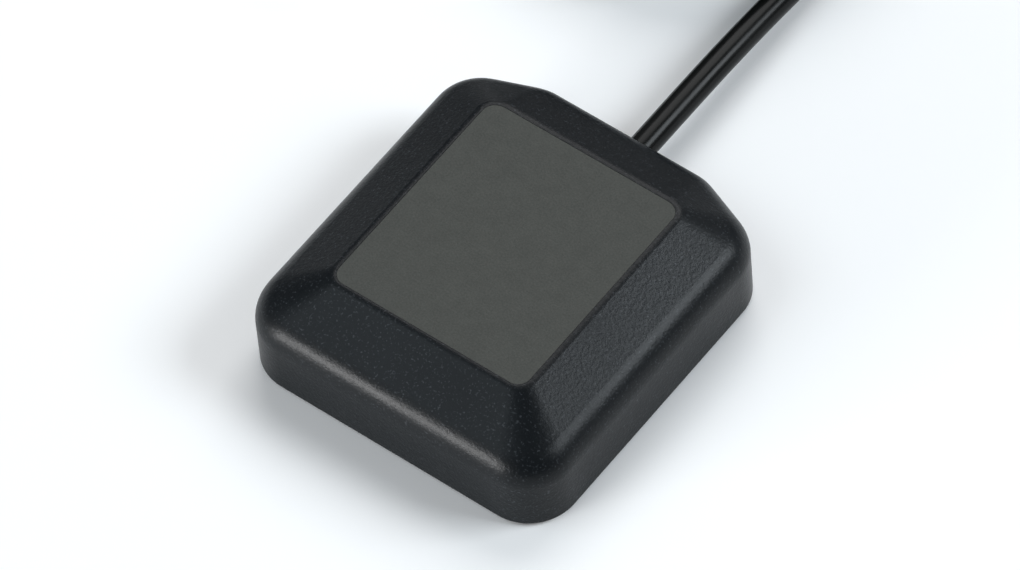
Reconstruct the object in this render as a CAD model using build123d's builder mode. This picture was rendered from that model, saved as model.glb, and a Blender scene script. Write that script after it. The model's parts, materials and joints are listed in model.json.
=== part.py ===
from build123d import *
from math import atan, cos, degrees, pi, radians, sin, tan
import os

# Small magnetic-mount satellite positioning receiver with a fixed USB cable.
# Millimetres. +Z is up, the surface it stands on is z = 0, the cable leaves along +Y.
# The origin is on that surface under the middle of the housing.

# Housing, outside
body_width = 42.0
body_depth = 45.0
skirt_bottom = 0.3
slope_rise = 4.0
front_corner_radius = 6.0
back_corner_radius = 5.75
back_facet_reach = 10.3
back_facet_angle = 21.0
top_width = 27.2
top_depth = 30.3
top_center_y = 0.2
top_corner_radius = 2.1
top_facet_reach = 1.9
shoulder_radius = 4.0
skirt_edge_radius = 0.4
top_edge_radius = 1.2

# Housing, walls
wall = 1.8
roof = 1.4
rebate_wall = 1.0
label_rim = 0.5
label_thickness = 0.28
label_gap = 0.04
label_recess = 0.3

# Stack, counted up from the surface
pad_thickness = 0.6
pad_inset = 0.5
plate_thickness = 1.0
plate_gap = 0.1
seal_thickness = 0.4
seal_gap = 0.08

# Screws and their bosses
boss_diameter = 3.8
boss_side_inset = 6.0
boss_front_inset = 6.0
boss_back_inset = 8.1
screw_core = 1.5
screw_head = 3.0
screw_head_height = 0.8
screw_length = 5.0
screw_gap = 0.1
screw_drive_width = 0.4
screw_drive_depth = 0.4

# Holding magnets in the base plate
magnet_length = 18.0
magnet_width = 6.0
magnet_thickness = 1.5
magnet_gap = 0.05
magnet_front_y = -11.0
magnet_rear_y = 7.0
pocket_wall = 0.8

# Cable and its way through the back wall
cable_diameter = 3.3
cable_length = 1500.0
grommet_wall = 0.35
grommet_gap = 0.05
grommet_lip = 0.4
grommet_outer_lip = 0.6
grommet_outer_thickness = 0.4
grommet_inner_thickness = 0.7
crimp_wall = 0.45
crimp_length = 2.0
jacket_tail = 1.0
bore_above_ledge = 0.05

# Circuit board
board_thickness = 1.0
board_side_gap = 3.0
board_back_gap = 4.7
board_above_cable = 0.45
board_boss_gap = 0.4
peg_diameter = 2.2
post_diameter = 2.6
peg_from_edge = 1.6
peg_front_y = -8.0
peg_rear_y = 5.0

# Ceramic patch antenna
patch_size = 25.0
patch_height = 4.0
patch_y = -1.5
patch_electrode = 20.5
patch_electrode_trim = 1.6
patch_ground = 24.0
electrode_thickness = 0.08
adhesive_thickness = 0.2
feed_pin_diameter = 0.9
feed_pin_head = 2.4
feed_pin_head_height = 0.3
feed_offset_y = 2.4
feed_gap = 0.1
feed_tail = 0.5
air_over_antenna = 0.34

# Receiver module under the board
module_width = 16.0
module_depth = 12.2
module_board_thickness = 0.8
module_can_height = 1.6
module_can_inset = 0.5
module_y = -8.7

# Wires from the cable to the board
wire_diameter = 1.0
wire_pitch = 2.4
wire_spread = 0.55
wire_hole = 0.8
wire_row_from_back = 2.0
wire_bend = 1.0
solder_radius = 0.8
solder_height = 0.55

# Cable lead from the grommet to the coil, then the put-away coil
coil_center = (-22.6, 68.5)
coil_outer_turn = 22.6
coil_inner_turn = 13.4
coil_layers = 4
coil_layer_pitch = 3.0
tie_thickness = 0.6
tie_width = 6.0
tie_gap = 0.05
tie_angles = (40.0, 222.0)

# USB-A plug
plug_width = 15.6
plug_height = 7.8
plug_body_length = 19.0
plug_corner_radius = 2.2
plug_edge_radius = 0.7
relief_length = 9.0
relief_start_width = 8.0
relief_end_diameter = 4.5
relief_rings = 4
relief_ring_width = 1.1
relief_ring_depth = 0.55
shell_width = 12.0
shell_height = 4.5
shell_wall = 0.3
shell_corner_radius = 0.65
shell_exposed = 12.0
shell_buried = 6.0
shell_window = (2.4, 1.9)
shell_window_pitch = 5.6
shell_window_from_tip = 5.2
tongue_height = 1.9
tongue_gap = 0.05
contact_width = 1.0
contact_thickness = 0.2
contact_pitches = (-3.5, -1.0, 1.0, 3.5)
contact_from_tip = 1.5

# Heights and places that follow from the sizes above
cable_radius = cable_diameter / 2
plate_bottom = pad_thickness
plate_top = plate_bottom + plate_thickness
ledge_height = plate_top + seal_thickness
bore_radius = cable_radius + grommet_wall + grommet_gap
cable_height = ledge_height + bore_above_ledge + bore_radius
board_bottom = cable_height + cable_radius + board_above_cable
board_top = board_bottom + board_thickness
patch_bottom = board_top + adhesive_thickness + electrode_thickness
patch_top = patch_bottom + patch_height
feed_pin_top = patch_top + electrode_thickness + feed_pin_head_height
body_top = feed_pin_top + air_over_antenna + roof
shoulder_height = body_top - slope_rise
back_face = body_depth / 2
exit_y = back_face + grommet_outer_thickness
inner_back = back_face - wall
crimp_back = inner_back - grommet_inner_thickness
jacket_end = crimp_back - crimp_length - jacket_tail
board_half_width = body_width / 2 - wall - board_side_gap
board_front = -(body_depth / 2 - wall - board_side_gap)
board_back = inner_back - board_back_gap
wire_row_y = board_back - wire_row_from_back
feed_y = patch_y + feed_offset_y
boss_x = body_width / 2 - boss_side_inset
boss_points = [
    (-boss_x, -(body_depth / 2 - boss_front_inset)),
    (boss_x, -(body_depth / 2 - boss_front_inset)),
    (-boss_x, body_depth / 2 - boss_back_inset),
    (boss_x, body_depth / 2 - boss_back_inset),
]
peg_x = board_half_width - peg_from_edge
peg_points = [(side * peg_x, y) for side in (-1, 1) for y in (peg_front_y, peg_rear_y)]
bottom_aligned = (Align.CENTER, Align.CENTER, Align.MIN)
top_aligned = (Align.CENTER, Align.CENTER, Align.MAX)


def facet_outline(width, depth, facet_reach, inset=0.0):
    """Corners of a plan outline whose two back corners are cut by a shallow facet."""
    angle = radians(back_facet_angle)
    half_width = width / 2
    half_depth = depth / 2
    facet = sin(angle) * (half_width - facet_reach) + cos(angle) * half_depth - inset
    half_width -= inset
    half_depth -= inset
    side_y = (facet - sin(angle) * half_width) / cos(angle)
    back_x = (facet - cos(angle) * half_depth) / sin(angle)
    return [
        (-half_width, -half_depth),
        (half_width, -half_depth),
        (half_width, side_y),
        (back_x, half_depth),
        (-back_x, half_depth),
        (-half_width, side_y),
    ]


def outline_sketch(height, corners, front_radius, back_radius):
    """Rounded plan outline as a sketch at one height."""
    with BuildSketch(Plane.XY.offset(height)) as outline:
        with BuildLine():
            Polyline(*corners, close=True)
        make_face()
        fillet(outline.vertices().group_by(Axis.Y)[0], front_radius)
        fillet(outline.vertices().filter_by_position(Axis.Y, 0, body_depth), back_radius)
    return outline.sketch


def body_outline(height, inset=0.0):
    """Housing outline, moved inwards by an inset."""
    corners = facet_outline(body_width, body_depth, back_facet_reach, inset)
    return outline_sketch(height, corners, front_corner_radius - inset, back_corner_radius - inset)


def top_outline(height, inset=0.0):
    """Outline of the flat top, moved inwards by an inset."""
    corners = facet_outline(top_width, top_depth, top_facet_reach, inset)
    corners = [(x, y + top_center_y) for x, y in corners]
    radius = top_corner_radius - inset
    return outline_sketch(height, corners, radius, radius)


def slope_loss(inset, thickness):
    """How far the shoulder drops and the top shrinks under a wall of this thickness."""
    side_run = (body_width - top_width) / 2
    end_run = (body_depth - top_depth) / 2
    runs = (side_run, end_run - top_center_y, end_run + top_center_y)
    angles = [atan(slope_rise / run) for run in runs]
    drop = min(inset * tan(a) - thickness / cos(a) for a in angles)
    shrink = max(thickness * tan(a / 2) for a in angles)
    return drop, shrink


def housing_form(bottom, inset, thickness):
    """Closed form of the housing, or of the space inside its walls."""
    drop, shrink = slope_loss(inset, thickness)
    shoulder = shoulder_height + drop
    with BuildPart() as form:
        add(body_outline(bottom, inset))
        extrude(amount=shoulder - bottom)
        add(body_outline(shoulder, inset))
        add(top_outline(body_top - thickness, shrink))
        loft(ruled=True)
        at_shoulder = form.edges().filter_by_position(Axis.Z, shoulder - 0.01, shoulder + 0.01)
        fillet(at_shoulder, shoulder_radius - inset)
    return form.part


def along_cable(y):
    """Plane across the cable's axis where it passes through the back wall."""
    return Plane(origin=(0, y, cable_height), x_dir=(-1, 0, 0), z_dir=(0, 1, 0))


def box_on(face_height, length, width, height, points, downwards=False):
    """Plain blocks standing on, or hanging from, one height."""
    aligned = top_aligned if downwards else bottom_aligned
    with BuildPart() as block:
        with Locations(*[(x, y, face_height) for x, y in points]):
            Box(length, width, height, align=aligned)
    return block


inner_form = housing_form(skirt_bottom, wall, roof)
post_form = housing_form(skirt_bottom, wall / 2, roof - label_recess / 2)

# Screw bosses and hold-down pegs inside the cover, ending half way through its wall.
with BuildPart() as cover_posts:
    with BuildSketch(Plane.XY.offset(plate_top)):
        with Locations(*boss_points):
            Circle(boss_diameter / 2)
    extrude(amount=body_top - plate_top)
    with BuildSketch(Plane.XY.offset(board_top)):
        with Locations(*peg_points):
            Circle(peg_diameter / 2)
    extrude(amount=body_top - board_top)
    add(post_form, mode=Mode.INTERSECT)

# Cover: one moulding with the label recess, the cable's bore and its bosses and pegs.
with BuildPart() as top_cover:
    add(housing_form(skirt_bottom, 0.0, 0.0))
    fillet(top_cover.edges().group_by(Axis.Z)[0], skirt_edge_radius)
    fillet(top_cover.edges().group_by(Axis.Z)[-1], top_edge_radius)
    add(inner_form, mode=Mode.SUBTRACT)
    add(body_outline(skirt_bottom, rebate_wall))
    extrude(amount=ledge_height - skirt_bottom, mode=Mode.SUBTRACT)
    add(top_outline(body_top, label_rim))
    extrude(amount=-label_recess, mode=Mode.SUBTRACT)
    with BuildSketch(along_cable(inner_back - wall)):
        Circle(bore_radius)
    extrude(amount=3 * wall, mode=Mode.SUBTRACT)
    add(cover_posts.part)
    with BuildSketch(Plane.XY.offset(plate_top)):
        with Locations(*boss_points):
            Circle(screw_core / 2)
    extrude(amount=screw_length, mode=Mode.SUBTRACT)

# Thin grey face let into the flat top.
with BuildPart() as top_label:
    add(top_outline(body_top - label_recess, label_rim + label_gap))
    extrude(amount=label_thickness)

# Base plate inside the cover's skirt, with magnet pockets below and board posts above.
with BuildPart() as base_plate:
    add(body_outline(plate_bottom, rebate_wall + plate_gap))
    extrude(amount=plate_thickness)
    pocket_roof = plate_bottom + magnet_thickness + magnet_gap + pocket_wall
    with BuildSketch(Plane.XY.offset(plate_top)):
        with Locations((0, magnet_front_y), (0, magnet_rear_y)):
            RectangleRounded(magnet_length + 2 * pocket_wall, magnet_width + 2 * pocket_wall, pocket_wall)
    extrude(amount=pocket_roof - plate_top)
    with BuildSketch(Plane.XY.offset(plate_bottom)):
        with Locations((0, magnet_front_y), (0, magnet_rear_y)):
            Rectangle(magnet_length + 2 * magnet_gap, magnet_width + 2 * magnet_gap)
    extrude(amount=magnet_thickness + magnet_gap, mode=Mode.SUBTRACT)
    with BuildSketch(Plane.XY.offset(plate_top)):
        with Locations(*peg_points):
            Circle(post_diameter / 2)
    extrude(amount=board_bottom - plate_top)
    with Locations(*[Plane(origin=(x, y, plate_bottom), z_dir=(0, 0, -1)) for x, y in boss_points]):
        CounterSinkHole(screw_core / 2 + screw_gap, screw_head / 2 + screw_gap, plate_thickness, 90)

# Flat gasket between the base plate and the cover's ledge.
with BuildPart() as perimeter_seal:
    add(body_outline(plate_top, rebate_wall + plate_gap))
    extrude(amount=seal_thickness)
    add(body_outline(plate_top, wall - seal_gap))
    extrude(amount=seal_thickness, mode=Mode.SUBTRACT)

# Rubber foot over the base plate, its magnets and its screws.
with BuildPart() as foot_pad:
    add(body_outline(0.0, rebate_wall + pad_inset))
    extrude(amount=pad_thickness)

# Four countersunk self-tapping screws with a cross drive.
with BuildPart() as cover_screws:
    with Locations(*[(x, y, plate_bottom) for x, y in boss_points]):
        Cone(screw_head / 2, screw_core / 2, screw_head_height, align=bottom_aligned)
        Cylinder(screw_core / 2, screw_length, align=bottom_aligned)
        Box(screw_head / 2, screw_drive_width, screw_drive_depth, align=bottom_aligned, mode=Mode.SUBTRACT)
        Box(screw_drive_width, screw_head / 2, screw_drive_depth, align=bottom_aligned, mode=Mode.SUBTRACT)


def magnet(y):
    """Flat bar magnet, level with the underside of the base plate."""
    return box_on(plate_bottom, magnet_length, magnet_width, magnet_thickness, [(0, y)])


magnet_front = magnet(magnet_front_y)
magnet_rear = magnet(magnet_rear_y)

# Rubber grommet in the back wall, and the ring crimped on the cable behind it.
with BuildPart() as cable_grommet:
    with BuildSketch(along_cable(crimp_back)):
        Circle(bore_radius + grommet_lip)
    extrude(amount=grommet_inner_thickness)
    with BuildSketch(along_cable(inner_back)):
        Circle(bore_radius - grommet_gap)
    extrude(amount=wall)
    with BuildSketch(along_cable(back_face)):
        Circle(bore_radius + grommet_outer_lip)
    extrude(amount=grommet_outer_thickness)
    with BuildSketch(along_cable(crimp_back)):
        Circle(cable_radius)
    extrude(amount=exit_y - crimp_back, mode=Mode.SUBTRACT)

with BuildPart() as cable_crimp:
    with BuildSketch(along_cable(crimp_back)):
        Circle(cable_radius + crimp_wall)
        Circle(cable_radius, mode=Mode.SUBTRACT)
    extrude(amount=-crimp_length)

with BuildPart() as cable_inner_end:
    with BuildSketch(along_cable(jacket_end)):
        Circle(cable_radius)
    extrude(amount=exit_y - jacket_end)

# Circuit board with clearances for the screw bosses, the feed pin and the wires.
wire_points = [((i - 1.5) * wire_pitch, wire_row_y) for i in range(4)]
with BuildPart() as circuit_board:
    with BuildSketch(Plane.XY.offset(board_bottom)):
        with Locations((0, (board_front + board_back) / 2)):
            Rectangle(2 * board_half_width, board_back - board_front)
        with Locations(*boss_points):
            Circle(boss_diameter / 2 + board_boss_gap, mode=Mode.SUBTRACT)
        with Locations((0, feed_y)):
            Circle(feed_pin_diameter / 2, mode=Mode.SUBTRACT)
        with Locations(*wire_points):
            Circle(wire_hole / 2, mode=Mode.SUBTRACT)
    extrude(amount=board_thickness)


def antenna_layer(bottom, size, thickness, hole):
    """Square layer of the patch antenna with the feed pin's hole."""
    with BuildPart() as layer:
        with BuildSketch(Plane.XY.offset(bottom)):
            with Locations((0, patch_y)):
                Rectangle(size, size)
            with Locations((0, feed_y)):
                Circle(hole / 2, mode=Mode.SUBTRACT)
        extrude(amount=thickness)
    return layer


feed_hole = feed_pin_diameter + 2 * feed_gap
patch_adhesive = antenna_layer(board_top, patch_ground, adhesive_thickness, feed_hole + 1.0)
patch_ground_plate = antenna_layer(
    board_top + adhesive_thickness,
    patch_ground,
    electrode_thickness,
    feed_hole + 1.0,
)
patch_ceramic = antenna_layer(patch_bottom, patch_size, patch_height, feed_hole)

# Silver face of the antenna, with two opposite corners trimmed for circular polarisation.
with BuildPart() as patch_electrode_face:
    with BuildSketch(Plane.XY.offset(patch_top)) as electrode:
        with Locations((0, patch_y)):
            Rectangle(patch_electrode, patch_electrode)
        corners = electrode.vertices().sort_by(Axis((0, 0, 0), (1, 1, 0)))
        chamfer([corners[0], corners[-1]], patch_electrode_trim)
        with Locations((0, feed_y)):
            Circle(feed_pin_diameter / 2, mode=Mode.SUBTRACT)
    extrude(amount=electrode_thickness)

with BuildPart() as feed_pin:
    with Locations((0, feed_y, board_bottom - feed_tail)):
        pin_length = patch_top + electrode_thickness - board_bottom + feed_tail
        Cylinder(feed_pin_diameter / 2, pin_length, align=bottom_aligned)
    with Locations((0, feed_y, patch_top + electrode_thickness)):
        Cylinder(feed_pin_head / 2, feed_pin_head_height, align=bottom_aligned)
    fillet(feed_pin.edges().group_by(Axis.Z)[-1], feed_pin_head_height / 2)

with BuildPart() as feed_solder:
    with Locations((0, feed_y, board_bottom)):
        Cylinder(solder_radius, feed_tail, align=top_aligned)
        Cylinder(feed_pin_diameter / 2, feed_tail, align=top_aligned, mode=Mode.SUBTRACT)

# Receiver module: its own small board under a pressed metal can.
module_place = [(0, module_y)]
module_board = box_on(board_bottom, module_width, module_depth, module_board_thickness, module_place, True)
module_bottom = board_bottom - module_board_thickness
with BuildPart() as module_can:
    with Locations((0, module_y, module_bottom)):
        Box(
            module_width - 2 * module_can_inset,
            module_depth - 2 * module_can_inset,
            module_can_height,
            align=top_aligned,
        )
    fillet(module_can.edges().group_by(Axis.Z)[0], 0.3)

# Small parts on the underside of the board: length, width, height and place.
low_noise_amplifier = box_on(board_bottom, 1.5, 1.0, 0.6, [(3.4, feed_y)], True)
band_filter = box_on(board_bottom, 1.4, 1.1, 0.5, [(6.0, feed_y)], True)
voltage_regulator = box_on(board_bottom, 2.9, 1.6, 1.1, [(-6.2, 4.4)], True)
surge_protector = box_on(board_bottom, 2.0, 1.25, 0.9, [(-2.6, 9.6)], True)
settings_memory = box_on(board_bottom, 3.0, 2.0, 0.75, [(-7.0, 8.6)], True)
supply_inductor = box_on(board_bottom, 2.5, 2.0, 1.5, [(-10.6, 4.4)], True)
capacitor_points = [(-9.0, 0.6), (-6.0, 0.6), (-3.0, 0.6), (9.0, feed_y), (2.4, 5.4), (-2.6, 6.4)]
capacitors = box_on(board_bottom, 1.6, 0.8, 0.8, capacitor_points, True)
resistor_points = [(0.4, 9.6), (2.6, 9.6), (11.8, 11.4), (9.4, 11.4), (-11.6, 8.6)]
resistors = box_on(board_bottom, 1.0, 0.5, 0.35, resistor_points, True)

with BuildPart() as backup_cell:
    with Locations((8.6, 5.8, board_bottom)):
        Cylinder(3.4, 2.1, align=top_aligned)
    fillet(backup_cell.edges().group_by(Axis.Z)[0], 0.3)

# Solder joints that fill the board's four wire holes and crown on its top.
with BuildPart() as wire_solder:
    with Locations(*[(x, y, board_bottom) for x, y in wire_points]):
        Cylinder(wire_hole / 2, board_thickness, align=bottom_aligned)
    with Locations(*[(x, y, board_top) for x, y in wire_points]):
        Cone(solder_radius, wire_hole / 4, solder_height, align=bottom_aligned)


def wire(index):
    """Insulated wire from the end of the cable's jacket up to its hole in the board."""
    end_x, end_y = wire_points[index]
    start_x = wire_spread * (-1 if index < 2 else 1)
    start_z = cable_height + wire_spread * (-1 if index in (1, 2) else 1)
    lowest = cable_height - wire_spread
    with BuildPart() as strand:
        with BuildLine() as path:
            FilletPolyline(
                (start_x, jacket_end, start_z),
                (start_x, jacket_end - wire_bend / 4, start_z),
                (end_x, end_y, lowest if index in (1, 2) else cable_height),
                (end_x, end_y, board_bottom),
                radius=(wire_bend / 4, wire_bend / 2),
            )
        with BuildSketch(Plane(origin=path.line @ 0, z_dir=path.line % 0)):
            Circle(wire_diameter / 2)
        sweep(path=path.line)
    return strand


wires = {name: wire(i) for i, name in enumerate(("wire_red", "wire_white", "wire_green", "wire_black"))}


def turn_radii(points):
    """Arc radius at each corner of a cord's route, as large as its two runs allow."""
    radii = []
    for before, here, after in zip(points, points[1:], points[2:]):
        inward = Vector(*here) - Vector(*before)
        outward = Vector(*after) - Vector(*here)
        half_turn = radians(inward.get_angle(outward)) / 2
        radii.append(0.45 * min(inward.length, outward.length) / tan(half_turn))
    return radii


def cord(name, points):
    """Round tube along a route of straight runs joined by tangent arcs."""
    radii = turn_radii(points)
    with BuildPart() as tube:
        with BuildLine() as path:
            FilletPolyline(*points, radius=radii)
        with BuildSketch(Plane(origin=path.line @ 0, z_dir=path.line % 0)):
            Circle(cable_radius)
        sweep(path=path.line)
    length = path.wire().length
    expected = pi * cable_radius**2 * length
    print(name, "length", round(length, 1), "radii", [round(r, 1) for r in radii])
    print(name, "volume", round(tube.part.volume, 1), "section times length", round(expected, 1))
    return tube


def around_coil(angle, radius, height):
    """Point of a cord's route given round the coil's centre."""
    turn = radians(angle)
    return (coil_center[0] + radius * cos(turn), coil_center[1] + radius * sin(turn), height)


# Visible lead: straight out of the grommet, then down to the surface and into the coil.
lead_points = [
    (0.0, exit_y, cable_height),
    (0.0, exit_y + 8.0, cable_height),
    (-0.05, exit_y + 17.0, cable_height - 0.25),
    (-0.05, exit_y + 26.0, cable_height - 0.85),
    (0.05, exit_y + 34.0, tie_thickness + cable_radius + 0.1),
    (0.0, exit_y + 41.0, tie_thickness + cable_radius),
]
cable_lead = cord("cable_lead", lead_points)

# Put-away length, wound into one neat round coil.
coil_bottom = tie_thickness
coil_height = (coil_layers - 1) * coil_layer_pitch + cable_diameter
coil_top = coil_bottom + coil_height
coil_section = (coil_inner_turn + coil_outer_turn) / 2
coil_axis = Axis((coil_center[0], coil_center[1], 0), (0, 0, 1))
with BuildPart() as cable_coil:
    coil_width = coil_outer_turn - coil_inner_turn + cable_diameter
    with BuildSketch(Plane(origin=(*coil_center, 0), x_dir=(1, 0, 0), z_dir=(0, -1, 0))):
        with Locations((coil_section, coil_bottom + coil_height / 2)):
            RectangleRounded(coil_width, coil_height, cable_radius * 0.98)
    revolve(axis=coil_axis)

# End of the cable: off the coil's top turn, down its outside, and level into the plug.
plug_axis_height = plug_height / 2
tail_points = [
    around_coil(82, 22.3, coil_top - cable_radius),
    around_coil(100, 23.8, coil_top - cable_radius - 0.15),
    around_coil(118, 26.2, coil_top - cable_radius - 1.65),
    around_coil(136, 28.2, 7.3),
    around_coil(153, 29.6, 5.2),
    around_coil(169, 30.6, plug_axis_height),
    around_coil(185, 30.8, plug_axis_height),
]
cable_tail = cord("cable_tail", tail_points)
plug_entry = Vector(*tail_points[-1])
plug_heading = (plug_entry - Vector(*tail_points[-2])).normalized()


def tie_plane(angle):
    """Upright plane through the coil's axis, with its x axis pointing outwards."""
    outward = Vector(1, 0, 0).rotate(Axis.Z, angle)
    return Plane(origin=(*coil_center, 0), x_dir=outward, z_dir=outward.cross(Vector(0, 0, 1)))


# Two hook-and-loop straps that hold the coil.
with BuildPart() as coil_ties:
    strap_width = coil_width + 2 * tie_gap
    strap_height = coil_height + 2 * tie_gap
    for angle in tie_angles:
        with BuildSketch(tie_plane(angle)):
            with Locations((coil_section, coil_bottom + coil_height / 2)):
                RectangleRounded(
                    strap_width + 2 * tie_thickness,
                    strap_height + 2 * (tie_thickness - tie_gap),
                    cable_radius + tie_thickness,
                )
                RectangleRounded(strap_width, strap_height, cable_radius, mode=Mode.SUBTRACT)
        revolve(axis=coil_axis, revolution_arc=degrees(tie_width / coil_section))


def across_plug(distance):
    """Plane across the plug's axis, this far in front of the point where its cable enters."""
    sideways = plug_heading.cross(Vector(0, 0, -1))
    return Plane(origin=plug_entry + plug_heading * distance, x_dir=sideways, z_dir=plug_heading)


plug_front = relief_length + plug_body_length
shell_back = plug_front - shell_buried
shell_tip = plug_front + shell_exposed

# Moulded grip and ribbed strain relief in one piece.
with BuildPart() as plug_overmould:
    with BuildSketch(across_plug(relief_length)):
        RectangleRounded(plug_width, plug_height, plug_corner_radius)
    extrude(amount=plug_body_length)
    fillet(plug_overmould.faces().sort_by(Axis((0, 0, 0), plug_heading))[-1].edges(), plug_edge_radius)
    with BuildSketch(across_plug(0)):
        Circle(relief_end_diameter / 2)
    with BuildSketch(across_plug(relief_length)):
        RectangleRounded(relief_start_width, relief_start_width * 0.8, relief_start_width * 0.35)
    loft()
    for i in range(relief_rings):
        with BuildSketch(across_plug(relief_ring_width * (2 * i + 0.8))):
            Rectangle(plug_width, plug_height)
            Circle(relief_end_diameter / 2 - relief_ring_depth + 0.17 * i, mode=Mode.SUBTRACT)
        extrude(amount=relief_ring_width * 0.8, mode=Mode.SUBTRACT)
    with BuildSketch(across_plug(shell_back)):
        RectangleRounded(shell_width, shell_height, shell_corner_radius)
    extrude(amount=shell_buried, mode=Mode.SUBTRACT)

with BuildPart() as plug_shell:
    inner_corner = shell_corner_radius - shell_wall
    with BuildSketch(across_plug(shell_back)):
        RectangleRounded(shell_width, shell_height, shell_corner_radius)
        RectangleRounded(
            shell_width - 2 * shell_wall,
            shell_height - 2 * shell_wall,
            inner_corner,
            mode=Mode.SUBTRACT,
        )
    extrude(amount=shell_buried + shell_exposed)
    middle = across_plug(shell_tip - shell_window_from_tip)
    below = middle.origin - Vector(0, 0, shell_height)
    with BuildSketch(Plane(origin=below, x_dir=middle.x_dir, z_dir=(0, 0, 1))):
        with GridLocations(shell_window_pitch, 0, 2, 1):
            Rectangle(*shell_window)
    extrude(amount=2 * shell_height, mode=Mode.SUBTRACT)

# Insulator: a block that fills the back of the shell and a tongue along its lower half.
with BuildPart() as plug_insulator:
    inner_width = shell_width - 2 * shell_wall - 2 * tongue_gap
    inner_height = shell_height - 2 * shell_wall - 2 * tongue_gap
    tongue_top = tongue_height - inner_height / 2
    with BuildSketch(across_plug(shell_back)):
        RectangleRounded(inner_width, inner_height, inner_corner)
    extrude(amount=shell_buried)
    with BuildSketch(across_plug(shell_back)):
        RectangleRounded(inner_width, inner_height, inner_corner)
        with Locations((0, tongue_top + inner_height)):
            Rectangle(inner_width, 2 * inner_height, mode=Mode.SUBTRACT)
    extrude(amount=shell_buried + shell_exposed - tongue_gap * 4)
    with BuildSketch(across_plug(shell_back)):
        with Locations(*[(x, tongue_top - contact_thickness / 2) for x in contact_pitches]):
            Rectangle(contact_width + 2 * tongue_gap, contact_thickness)
    extrude(amount=shell_buried + shell_exposed - contact_from_tip, mode=Mode.SUBTRACT)

with BuildPart() as plug_contacts:
    with BuildSketch(across_plug(shell_back)):
        with Locations(*[(x, tongue_top - contact_thickness / 2) for x in contact_pitches]):
            Rectangle(contact_width, contact_thickness)
    extrude(amount=shell_buried + shell_exposed - contact_from_tip - tongue_gap)

pieces = {
    "top_cover": top_cover,
    "top_label": top_label,
    "base_plate": base_plate,
    "perimeter_seal": perimeter_seal,
    "foot_pad": foot_pad,
    "cover_screws": cover_screws,
    "magnet_front": magnet_front,
    "magnet_rear": magnet_rear,
    "cable_grommet": cable_grommet,
    "cable_crimp": cable_crimp,
    "cable_inner_end": cable_inner_end,
    "circuit_board": circuit_board,
    "patch_adhesive": patch_adhesive,
    "patch_ground_plate": patch_ground_plate,
    "patch_ceramic": patch_ceramic,
    "patch_electrode_face": patch_electrode_face,
    "feed_pin": feed_pin,
    "feed_solder": feed_solder,
    "module_board": module_board,
    "module_can": module_can,
    "low_noise_amplifier": low_noise_amplifier,
    "band_filter": band_filter,
    "voltage_regulator": voltage_regulator,
    "surge_protector": surge_protector,
    "settings_memory": settings_memory,
    "supply_inductor": supply_inductor,
    "capacitors": capacitors,
    "resistors": resistors,
    "backup_cell": backup_cell,
    "wire_solder": wire_solder,
    **wires,
    "cable_lead": cable_lead,
    "cable_coil": cable_coil,
    "cable_tail": cable_tail,
    "coil_ties": coil_ties,
    "plug_overmould": plug_overmould,
    "plug_shell": plug_shell,
    "plug_insulator": plug_insulator,
    "plug_contacts": plug_contacts,
}

os.makedirs("parts", exist_ok=True)
for name, piece in pieces.items():
    piece.part.label = name
    export_step(piece.part, f"parts/{name}.step")
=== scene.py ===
import json
import math

import bpy
from mathutils import Matrix, Vector


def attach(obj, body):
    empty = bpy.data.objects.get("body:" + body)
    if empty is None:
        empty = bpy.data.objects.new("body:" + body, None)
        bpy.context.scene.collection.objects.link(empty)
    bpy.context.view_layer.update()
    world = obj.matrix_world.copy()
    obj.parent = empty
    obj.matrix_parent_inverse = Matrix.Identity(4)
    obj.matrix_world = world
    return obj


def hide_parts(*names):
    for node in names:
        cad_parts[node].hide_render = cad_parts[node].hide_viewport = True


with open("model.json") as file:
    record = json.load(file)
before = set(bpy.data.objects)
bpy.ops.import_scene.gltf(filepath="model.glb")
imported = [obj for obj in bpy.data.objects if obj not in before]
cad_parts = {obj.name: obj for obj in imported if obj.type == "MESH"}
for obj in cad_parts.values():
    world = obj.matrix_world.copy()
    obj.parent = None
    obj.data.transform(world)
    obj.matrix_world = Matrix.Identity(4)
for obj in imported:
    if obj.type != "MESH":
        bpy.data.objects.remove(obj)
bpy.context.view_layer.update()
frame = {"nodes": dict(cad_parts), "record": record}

mm = 0.001
bpy.context.scene.view_settings.view_transform = "Standard"

cameraSetup = {
    "azimuth": 41.553,  # degrees round from the front
    "elevation": 54.407,
    "roll": -5.541,
    "distance": 1.03827,
    "aim": (0.00075, -0.00072, 0.0073),
    "lens": 333.19,
}


def makeCamera(setup):
    azimuth = math.radians(setup["azimuth"])
    elevation = math.radians(setup["elevation"])
    roll = math.radians(setup["roll"])
    level = Vector((math.cos(azimuth), math.sin(azimuth), 0))
    back = Vector((
        math.sin(azimuth) * math.cos(elevation),
        -math.cos(azimuth) * math.cos(elevation),
        math.sin(elevation),
    ))
    upright = back.cross(level)
    right = level * math.cos(roll) + upright * math.sin(roll)
    up = upright * math.cos(roll) - level * math.sin(roll)
    place = Vector(setup["aim"]) + back * setup["distance"]
    data = bpy.data.cameras.new("camera")
    data.lens = setup["lens"]
    data.sensor_width = 36
    data.clip_end = 20
    camera = bpy.data.objects.new("camera", data)
    camera.matrix_world = Matrix((
        (right.x, up.x, back.x, place.x),
        (right.y, up.y, back.y, place.y),
        (right.z, up.z, back.z, place.z),
        (0, 0, 0, 1),
    ))
    bpy.context.scene.collection.objects.link(camera)
    bpy.context.scene.camera = camera


makeCamera(cameraSetup)
print("camera placed")

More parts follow.
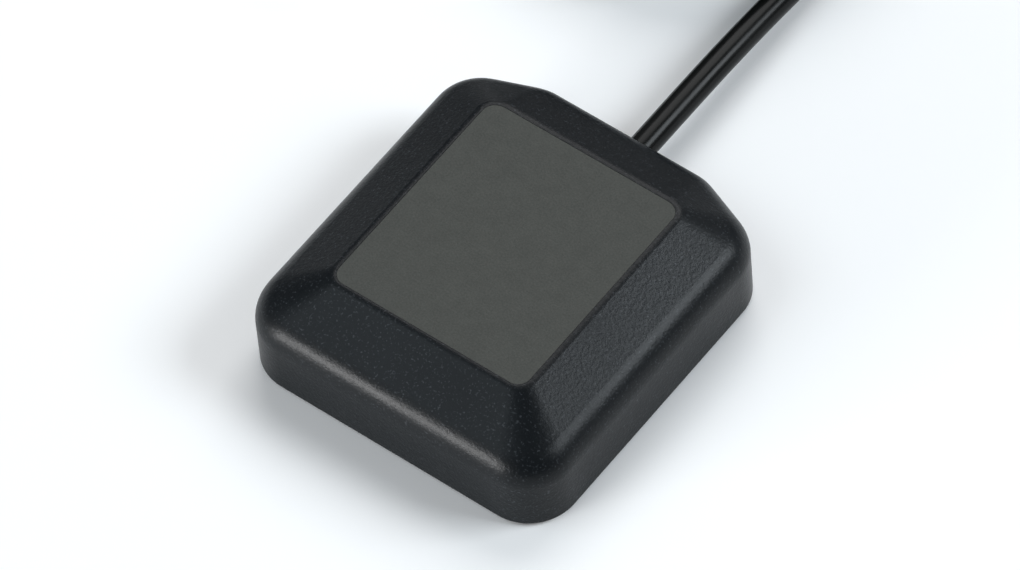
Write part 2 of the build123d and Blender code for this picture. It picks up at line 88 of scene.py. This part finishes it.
cableShape = {
    "diameter": 0.0033,
    "length": 1.5,
    "coilCenter": (-0.0226, 0.0685),
    "outerTurn": 0.0226,
    "innerTurn": 0.0134,
    "layers": 4,
    "turnsPerLayer": 3,
    "pointsPerTurn": 20,
    "extraPoints": 3,  # the last layer goes on this far past its last whole turn
    "firstLayerHeight": 0.00225,
    "layerPitch": 0.003,
    "climbShare": 0.06,  # part of a layer in which the cable climbs to the next
}

# stretch from the housing to the coil, in millimetres
leadRoute = [
    (0.0, 22.9, 4.1),
    (0.0, 30.9, 4.1),
    (-0.05, 39.9, 3.85),
    (-0.05, 48.9, 3.25),
    (0.05, 56.9, 2.35),
    (0.0, 63.9, 2.25),
]

# stretch from the coil to the plug: angle round the coil, distance from its middle, height
tailRoute = [
    (82, 22.3, 11.25),
    (100, 23.8, 11.1),
    (118, 26.2, 9.6),
    (136, 28.2, 7.3),
    (153, 29.6, 5.2),
    (169, 30.6, 3.9),
    (185, 30.8, 3.9),
]


def aroundCoil(angle, radius, height):
    centerX, centerY = cableShape["coilCenter"]
    turn = math.radians(angle)
    return (centerX + radius * math.cos(turn), centerY + radius * math.sin(turn), height)


def coilTurns(shape):
    points = []
    perLayer = shape["turnsPerLayer"] * shape["pointsPerTurn"]
    whole = shape["layers"] * perLayer
    for step in range(whole + shape["extraPoints"]):
        layer, along = divmod(min(step, whole - 1) / perLayer, 1)
        share = along if int(layer) % 2 == 0 else 1 - along
        radius = shape["outerTurn"] + (shape["innerTurn"] - shape["outerTurn"]) * share
        climb = max(0.0, (along - 1 + shape["climbShare"]) / shape["climbShare"])
        climb = climb * climb * (3 - 2 * climb)
        if int(layer) == shape["layers"] - 1:
            climb = 0
        height = shape["firstLayerHeight"] + (layer + climb) * shape["layerPitch"]
        points.append(aroundCoil(360 * step / shape["pointsPerTurn"], radius, height))
    return points


def makeCable(shape):
    points = [tuple(value * mm for value in point) for point in leadRoute]
    points += coilTurns(shape)
    points += [aroundCoil(angle, radius * mm, height * mm) for angle, radius, height in tailRoute]
    data = bpy.data.curves.new("cable", "CURVE")
    data.dimensions = "3D"
    data.resolution_u = 6
    data.bevel_depth = 1.0  # each point's own radius is the cable's
    data.bevel_resolution = 8
    data.use_fill_caps = True
    spline = data.splines.new("NURBS")
    spline.points.add(len(points) - 1)
    for point, place in zip(spline.points, points):
        point.co = (*place, 1)
        point.radius = shape["diameter"] / 2
    spline.order_u = 3
    spline.use_endpoint_u = True
    cable = bpy.data.objects.new("cable", data)
    bpy.context.scene.collection.objects.link(cable)
    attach(cable, "root")
    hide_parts("cable_lead", "cable_coil", "cable_tail")
    return cable


cable = makeCable(cableShape)
print("cable laid")


def newMaterial(name, color, roughness, metallic=0.0, ior=1.45):
    material = bpy.data.materials.new(name)
    material.use_nodes = True
    shader = material.node_tree.nodes["Principled BSDF"]
    shader.inputs["Base Color"].default_value = (*color, 1)
    shader.inputs["Roughness"].default_value = roughness
    shader.inputs["Metallic"].default_value = metallic
    shader.inputs["IOR"].default_value = ior
    return material, material.node_tree, shader


def addNode(tree, kind, **values):
    node = tree.nodes.new(kind)
    for key, value in values.items():
        if key in node.inputs:
            node.inputs[key].default_value = value
        else:
            setattr(node, key, value)
    return node


def noiseTexture(tree, place, scale, detail=3.0, rough=0.5):
    texture = addNode(tree, "ShaderNodeTexNoise", Scale=scale, Detail=detail, Roughness=rough)
    tree.links.new(place, texture.inputs["Vector"])
    return texture.outputs["Fac"]


def mapRange(tree, value, fromMin, fromMax, toMin, toMax):
    node = addNode(tree, "ShaderNodeMapRange")
    tree.links.new(value, node.inputs["Value"])
    for key, number in (("From Min", fromMin), ("From Max", fromMax), ("To Min", toMin), ("To Max", toMax)):
        node.inputs[key].default_value = number
    return node.outputs["Result"]


def mixColor(tree, factor, first, second):
    mix = addNode(tree, "ShaderNodeMix", data_type="RGBA")
    tree.links.new(factor, mix.inputs[0])
    for socket, value in ((mix.inputs[6], first), (mix.inputs[7], second)):
        if isinstance(value, tuple):
            socket.default_value = (*value, 1)
        else:
            tree.links.new(value, socket)
    return mix.outputs[2]


def addBump(tree, shader, height, strength, depth, previous=None):
    bump = addNode(tree, "ShaderNodeBump", Strength=strength, Distance=depth)
    tree.links.new(height, bump.inputs["Height"])
    if previous is not None:
        tree.links.new(previous, bump.inputs["Normal"])
    tree.links.new(bump.outputs["Normal"], shader.inputs["Normal"])
    return bump.outputs["Normal"]


def wornEdges(tree, radius, low=0.4, high=0.9):
    # 1 on rounded edges that hands and pockets rub, 0 on flats
    bevel = addNode(tree, "ShaderNodeBevel", samples=4, Radius=radius)
    geometry = addNode(tree, "ShaderNodeNewGeometry")
    turned = addNode(tree, "ShaderNodeVectorMath", operation="DOT_PRODUCT")
    tree.links.new(bevel.outputs["Normal"], turned.inputs[0])
    tree.links.new(geometry.outputs["Normal"], turned.inputs[1])
    return mapRange(tree, turned.outputs["Value"], high, low, 0.0, 1.0)


cloudScale = 150  # soft clouds of about 7 mm


def grainedMaterial(name, look):
    # two close colours in soft clouds, roughness that follows them and a fine grain
    material, tree, shader = newMaterial(
        name, look["color"], look["roughness"], look.get("metallic", 0.0), look.get("ior", 1.45)
    )
    place = addNode(tree, "ShaderNodeTexCoord").outputs["Object"]
    cloud = noiseTexture(tree, place, cloudScale, 4.0)
    grain = noiseTexture(tree, place, look["grainScale"], 2.0)
    color = mixColor(tree, mapRange(tree, cloud, 0.3, 0.7, 0.0, 1.0), look["color"], look["colorTwo"])
    tree.links.new(color, shader.inputs["Base Color"])
    spread = look.get("roughSpread", 0.06)
    rough = mapRange(tree, cloud, 0.3, 0.7, look["roughness"] - spread, look["roughness"] + spread)
    tree.links.new(rough, shader.inputs["Roughness"])
    addBump(tree, shader, grain, look["bump"], look["bumpDepth"])
    return material


coverFinish = {
    "color": (0.0016, 0.0031, 0.0045),
    "speckColor": (0.0290, 0.0330, 0.0380),
    "roughness": 0.36,
    "ior": 1.3,
    "patchScale": 70,
    "speckScale": 3600,
    "grainScale": 2600,  # spark-eroded mould texture, under half a millimetre
    "grainBump": 0.5,
    "grainDepth": 0.00007,
    "lumpScale": 1500,
    "lumpBump": 0.3,
    "lumpDepth": 0.00004,
}


def coverMaterial(finish):
    material, tree, shader = newMaterial(
        "grainedBlackCover", finish["color"], finish["roughness"], 0.0, finish["ior"]
    )
    place = addNode(tree, "ShaderNodeTexCoord").outputs["Object"]
    patchy = noiseTexture(tree, place, finish["patchScale"], 5.0, 0.6)
    grain = noiseTexture(tree, place, finish["grainScale"], 3.0, 0.6)
    specks = noiseTexture(tree, place, finish["speckScale"], 1.0)
    speck = mapRange(tree, specks, 0.60, 0.78, 0.0, 1.0)
    color = mixColor(tree, speck, finish["color"], finish["speckColor"])
    tree.links.new(color, shader.inputs["Base Color"])
    rough = mapRange(tree, patchy, 0.25, 0.75, finish["roughness"] - 0.04, finish["roughness"] + 0.05)
    tree.links.new(rough, shader.inputs["Roughness"])
    grainNormal = addBump(tree, shader, grain, finish["grainBump"], finish["grainDepth"])
    lumps = noiseTexture(tree, place, finish["lumpScale"], 2.0)
    addBump(tree, shader, lumps, finish["lumpBump"], finish["lumpDepth"], grainNormal)
    return material


labelFinish = {
    "color": (0.053, 0.055, 0.050),
    "colorTwo": (0.072, 0.074, 0.067),
    "roughness": 0.66,
    "ior": 1.25,
    "fleckScale": 4200,
    "cloudScale": 700,
    "cloudShare": 0.4,
    "bump": 0.35,
    "bumpDepth": 0.00003,
}


def labelMaterial(finish):
    material, tree, shader = newMaterial(
        "mattGreyLabel", finish["color"], finish["roughness"], 0.0, finish["ior"]
    )
    place = addNode(tree, "ShaderNodeTexCoord").outputs["Object"]
    fine = noiseTexture(tree, place, finish["fleckScale"], 2.0, 0.7)
    wide = noiseTexture(tree, place, finish["cloudScale"], 3.0, 0.6)
    both = addNode(tree, "ShaderNodeMath", operation="MULTIPLY_ADD")
    both.inputs[1].default_value = finish["cloudShare"]
    tree.links.new(wide, both.inputs[0])
    tree.links.new(fine, both.inputs[2])
    factor = mapRange(tree, both.outputs[0], 0.5, 0.9, 0.0, 1.0)
    color = mixColor(tree, factor, finish["color"], finish["colorTwo"])
    tree.links.new(color, shader.inputs["Base Color"])
    addBump(tree, shader, fine, finish["bump"], finish["bumpDepth"])
    return material


finishes = {
    "housing_plastic": coverMaterial(coverFinish),
    "label_face": labelMaterial(labelFinish),
}
print("cover and label finished")

jacketFinish = {
    "color": (0.0038, 0.0043, 0.0041),
    "colorTwo": (0.0055, 0.0060, 0.0058),
    "roughness": 0.25,
    "roughSpread": 0.03,
    "ior": 1.24,
    "grainScale": 700,
    "bump": 0.15,
    "bumpDepth": 0.00003,
}
finishes["cable_jacket"] = grainedMaterial("blackCableJacket", jacketFinish)
cable.data.materials.append(finishes["cable_jacket"])
print("cable jacket finished")

# what every plain finish uses unless its own line says otherwise
plainFinish = {"roughness": 0.45, "grainScale": 2500, "bump": 0.25, "bumpDepth": 0.00003, "shift": 1.3}

rubberAndPlastic = {
    "base_plastic": {"color": (0.016, 0.016, 0.018), "roughness": 0.5},
    "foot_rubber": {"color": (0.014, 0.014, 0.015), "roughness": 0.82, "bump": 0.6, "bumpDepth": 0.00006},
    "seal_rubber": {"color": (0.035, 0.035, 0.040), "roughness": 0.7},
    "grommet_rubber": {"color": (0.008, 0.008, 0.0085), "roughness": 0.55, "ior": 1.35},
    "adhesive_tape": {"color": (0.68, 0.65, 0.56), "roughness": 0.8, "bump": 0.4},
    "insulator_plastic": {"color": (0.74, 0.74, 0.72), "roughness": 0.45, "shift": 1.08},
    "wire_red": {"color": (0.48, 0.02, 0.02), "roughness": 0.35},
    "wire_white": {"color": (0.72, 0.72, 0.70), "roughness": 0.35, "shift": 1.08},
    "wire_green": {"color": (0.02, 0.32, 0.08), "roughness": 0.35},
    "wire_black": {"color": (0.014, 0.014, 0.014), "roughness": 0.35},
}

metals = {
    "screw_steel": {"color": (0.50, 0.50, 0.52), "roughness": 0.32},
    "magnet_nickel": {"color": (0.58, 0.56, 0.53), "roughness": 0.24},
    "crimp_metal": {"color": (0.56, 0.51, 0.39), "roughness": 0.35},
    "silver_layer": {"color": (0.66, 0.65, 0.62), "roughness": 0.45, "grainScale": 6000},
    "pin_brass": {"color": (0.66, 0.54, 0.31), "roughness": 0.3},
    "solder": {"color": (0.60, 0.60, 0.62), "roughness": 0.26, "grainScale": 1500, "bumpDepth": 0.00005},
    "shield_metal": {"color": (0.60, 0.60, 0.60), "roughness": 0.36},
    "cell_steel": {"color": (0.62, 0.62, 0.62), "roughness": 0.28},
    "shell_nickel": {"color": (0.60, 0.59, 0.57), "roughness": 0.27},
    "contact_gold": {"color": (0.78, 0.58, 0.25), "roughness": 0.24},
}

boardParts = {
    "board_laminate": {"color": (0.012, 0.12, 0.05), "roughness": 0.35, "grainScale": 1500},
    "module_laminate": {"color": (0.015, 0.07, 0.13), "roughness": 0.35, "grainScale": 1500},
    "ceramic": {"color": (0.52, 0.41, 0.29), "roughness": 0.6, "grainScale": 4000, "shift": 1.15},
    "chip_epoxy": {"color": (0.018, 0.018, 0.019), "roughness": 0.55, "grainScale": 6000},
    "filter_ceramic": {"color": (0.50, 0.49, 0.46), "roughness": 0.5, "shift": 1.12},
    "capacitor_ceramic": {"color": (0.44, 0.33, 0.22), "roughness": 0.5, "shift": 1.15},
}

for group, metallic in ((rubberAndPlastic, 0.0), (metals, 1.0), (boardParts, 0.0)):
    for slotName, own in group.items():
        look = {**plainFinish, "metallic": metallic, **own}
        change = 1 / look["shift"] if metallic else look["shift"]
        look["colorTwo"] = tuple(channel * change for channel in look["color"])
        finishes[slotName] = grainedMaterial(slotName, look)
print("rubber, plastic, metal and board finishes made")

plugFinish = {
    "color": (0.0085, 0.0085, 0.0092),
    "colorTwo": (0.0125, 0.0125, 0.0130),
    "wornColor": (0.026, 0.026, 0.027),
    "wornWidth": 0.0006,
    "roughness": 0.46,
    "ior": 1.4,
    "grainScale": 1600,
    "bump": 0.5,
    "bumpDepth": 0.00007,
}


def plugMaterial(finish):
    material = grainedMaterial("mouldedPlugGrip", finish)
    tree = material.node_tree
    shader = tree.nodes["Principled BSDF"]
    plain = shader.inputs["Base Color"].links[0].from_socket
    worn = mixColor(tree, wornEdges(tree, finish["wornWidth"]), plain, finish["wornColor"])
    tree.links.new(worn, shader.inputs["Base Color"])
    return material


finishes["plug_pvc"] = plugMaterial(plugFinish)
print("plug finished")

strapFinish = {
    "color": (0.0085, 0.0085, 0.0095),
    "threadColor": (0.034, 0.034, 0.037),
    "roughness": 0.92,
    "loopScale": 1900,
    "bump": 0.9,
    "bumpDepth": 0.00016,
    "sheen": 0.25,
    "sheenRoughness": 0.5,
}


def strapMaterial(finish):
    material, tree, shader = newMaterial("loopPileStrap", finish["color"], finish["roughness"])
    place = addNode(tree, "ShaderNodeTexCoord").outputs["Object"]
    loops = addNode(tree, "ShaderNodeTexVoronoi", feature="F1", Scale=finish["loopScale"], Randomness=1.0)
    tree.links.new(place, loops.inputs["Vector"])
    fuzz = noiseTexture(tree, place, finish["loopScale"] * 2, 4.0, 0.7)
    pile = addNode(tree, "ShaderNodeMath", operation="MULTIPLY")
    tree.links.new(loops.outputs["Distance"], pile.inputs[0])
    tree.links.new(fuzz, pile.inputs[1])
    threads = mapRange(tree, pile.outputs[0], 0.1, 0.5, 0.0, 1.0)
    color = mixColor(tree, threads, finish["color"], finish["threadColor"])
    tree.links.new(color, shader.inputs["Base Color"])
    shader.inputs["Sheen Weight"].default_value = finish["sheen"]
    shader.inputs["Sheen Roughness"].default_value = finish["sheenRoughness"]
    addBump(tree, shader, pile.outputs[0], finish["bump"], finish["bumpDepth"])
    return material


finishes["strap_fabric"] = strapMaterial(strapFinish)
print("straps finished")

for part in frame["record"]["subparts"]:
    node = frame["nodes"][part["node"]]
    node.data.materials.clear()
    node.data.materials.append(finishes[part["material_slot"]])

floorSetup = {"size": 6.0, "color": (0.97, 0.97, 0.97), "roughness": 0.8, "ior": 1.2}


def makeFloor(setup):
    mesh = bpy.data.meshes.new("floor")
    half = setup["size"] / 2
    corners = [(-half, -half, 0), (half, -half, 0), (half, half, 0), (-half, half, 0)]
    mesh.from_pydata(corners, [], [(0, 1, 2, 3)])
    floor = bpy.data.objects.new("floor", mesh)
    bpy.context.scene.collection.objects.link(floor)
    material, tree, shader = newMaterial(
        "paleFloor", setup["color"], setup["roughness"], 0.0, setup["ior"]
    )
    mesh.materials.append(material)


lightDistance = 1.1

# direction from the object, width and height, and brightness next to white
lightSetups = {
    "frontLeftSoftbox": {
        "toward": (-0.386, -0.446, 0.806),
        "size": (0.66, 0.66),
        "glow": 1.95,
        "color": (0.84, 0.94, 1.0),
    },
    "rightBackSoftbox": {
        "toward": (0.66, 0.44, 0.61),
        "size": (0.52, 0.46),
        "glow": 9.8,
        "color": (0.88, 0.95, 1.0),
    },
    "backLeftSoftbox": {"toward": (-0.25, 0.62, 0.74), "size": (0.80, 0.70), "glow": 3.1},
    "lowFrontStrip": {"toward": (-0.39, -0.92, 0.14), "size": (0.50, 0.24), "glow": 27.0},
    "lowBackStrip": {"toward": (-0.39, 0.92, 0.16), "size": (0.80, 0.24), "glow": 0.5},
}


def makeLight(name, setup):
    width, height = setup["size"]
    data = bpy.data.lights.new(name, "AREA")
    data.shape = "RECTANGLE"
    data.size = width
    data.size_y = height
    data.energy = setup["glow"] * math.pi * width * height
    data.color = setup.get("color", (1.0, 1.0, 1.0))
    light = bpy.data.objects.new(name, data)
    toward = Vector(setup["toward"]).normalized()
    light.location = toward * lightDistance
    light.rotation_euler = toward.to_track_quat("Z", "Y").to_euler()
    bpy.context.scene.collection.objects.link(light)


roomGlow = {"color": (0.95, 0.97, 1.0), "strength": 0.20}


def makeRoom(glow):
    world = bpy.data.worlds.new("softRoom")
    world.use_nodes = True
    background = world.node_tree.nodes["Background"]
    background.inputs["Color"].default_value = (*glow["color"], 1)
    background.inputs["Strength"].default_value = glow["strength"]
    bpy.context.scene.world = world


makeFloor(floorSetup)
for lightName, lightSetup in lightSetups.items():
    makeLight(lightName, lightSetup)
makeRoom(roomGlow)
print("floor and lights placed")
